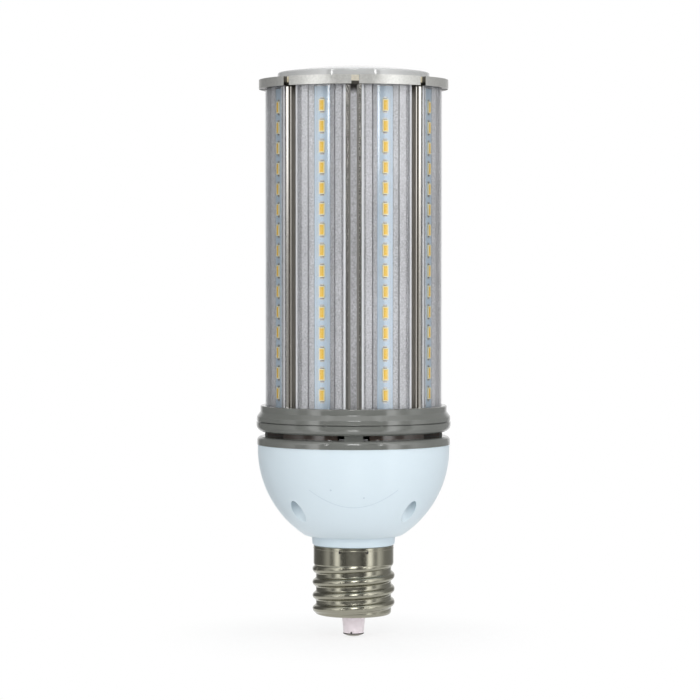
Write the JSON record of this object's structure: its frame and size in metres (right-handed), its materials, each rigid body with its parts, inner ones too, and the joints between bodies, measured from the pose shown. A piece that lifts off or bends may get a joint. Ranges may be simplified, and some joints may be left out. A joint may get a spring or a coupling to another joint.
{
  "type": "led corn light bulb",
  "caption": "High-power corn-style LED light bulb: eight finned panels of LEDs under clear covers on a driver bowl with a mogul screw base.",
  "frame": {"origin": "tip of the centre contact, on the lamp's axis", "axes": "+Z along the axis from the contact to the top lens, -Y towards the front groove"},
  "size_m": [0.0928, 0.0928, 0.2721],
  "materials": {
    "nickel_shell": "satin nickel plate",
    "insulator_glass": "pale glazed",
    "contact_metal": "tinned",
    "white_plastic": "satin",
    "board_green": "solder mask",
    "ferrite": "matte",
    "capacitor_sleeve": "glossy sleeve",
    "lead_jacket": "satin",
    "screw_steel": "zinc plated",
    "grey_plastic": "glossy",
    "extruded_aluminium": "satin extruded",
    "cap_metal": "satin cast",
    "led_board_white": "solder mask",
    "led_package": "diffuse",
    "clear_cover": "clear glossy",
    "lens_plastic": "milky glossy"
  },
  "bodies": {
    "root": {"screw_shell": "nickel_shell", "insulator": "insulator_glass", "centre_contact": "contact_metal", "driver_housing": "white_plastic", "driver_board": "board_green", "transformer": "ferrite", "input_choke": "ferrite", "capacitors": "capacitor_sleeve", "line_lead": "lead_jacket", "neutral_lead": "lead_jacket", "output_leads": "lead_jacket", "housing_screws": "screw_steel", "vent_ring": "grey_plastic", "lower_collar": "grey_plastic", "upper_collar": "grey_plastic", "collar_screws": "screw_steel", "heat_sink": "extruded_aluminium", "top_cap": "cap_metal", "cap_screws": "screw_steel", "top_led_board": "led_board_white", "top_leds": "led_package", "top_lens": "lens_plastic", "led_board_1": "led_board_white", "led_strip_1": "led_package", "lens_cover_1": "clear_cover", "led_board_2": "led_board_white", "led_strip_2": "led_package", "lens_cover_2": "clear_cover", "led_board_3": "led_board_white", "led_strip_3": "led_package", "lens_cover_3": "clear_cover", "led_board_4": "led_board_white", "led_strip_4": "led_package", "lens_cover_4": "clear_cover", "led_board_5": "led_board_white", "led_strip_5": "led_package", "lens_cover_5": "clear_cover", "led_board_6": "led_board_white", "led_strip_6": "led_package", "lens_cover_6": "clear_cover", "led_board_7": "led_board_white", "led_strip_7": "led_package", "lens_cover_7": "clear_cover", "led_board_8": "led_board_white", "led_strip_8": "led_package", "lens_cover_8": "clear_cover"}
  },
  "joints": []
}
